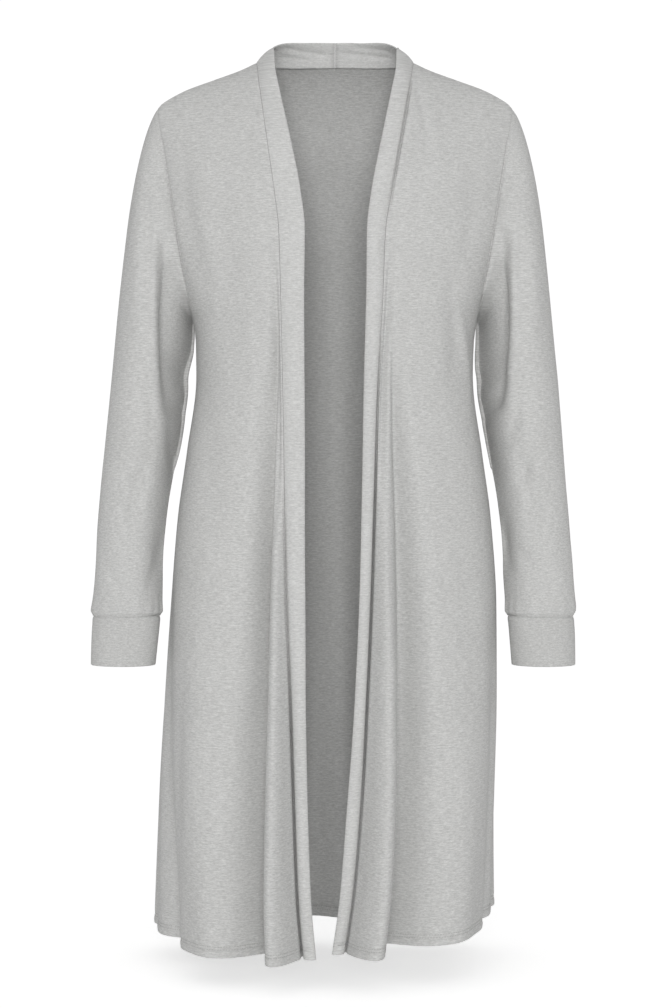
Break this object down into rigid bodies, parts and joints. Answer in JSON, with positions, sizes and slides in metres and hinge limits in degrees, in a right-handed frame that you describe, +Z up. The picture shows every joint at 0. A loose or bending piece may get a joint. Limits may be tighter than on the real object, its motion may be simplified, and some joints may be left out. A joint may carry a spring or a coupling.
{
  "type": "long open-front cardigan",
  "caption": "Knee-length open-front jersey cardigan with a neck and front band, set-in sleeves and cuffs, shaped as worn and hollow.",
  "frame": {"origin": "On the centre line, level with the points where the shoulder seams meet the neck band, between them.", "axes": "+Z up along the garment's length, +X to the wearer's left, -Y the way the wearer faces."},
  "size_m": [0.5284, 0.2754, 0.9906],
  "materials": {
    "jersey": "light heather grey slub jersey, matt",
    "band": "light heather grey slub jersey, doubled, matt",
    "cuff": "light heather grey slub jersey, doubled, matt",
    "thread": "light grey sewing thread"
  },
  "bodies": {
    "root": {"back": "jersey", "front_right": "jersey", "front_left": "jersey", "sleeve_right": "jersey", "sleeve_left": "jersey", "band_right": "band", "band_left": "band", "cuff_right": "cuff", "cuff_left": "cuff"}
  },
  "joints": []
}
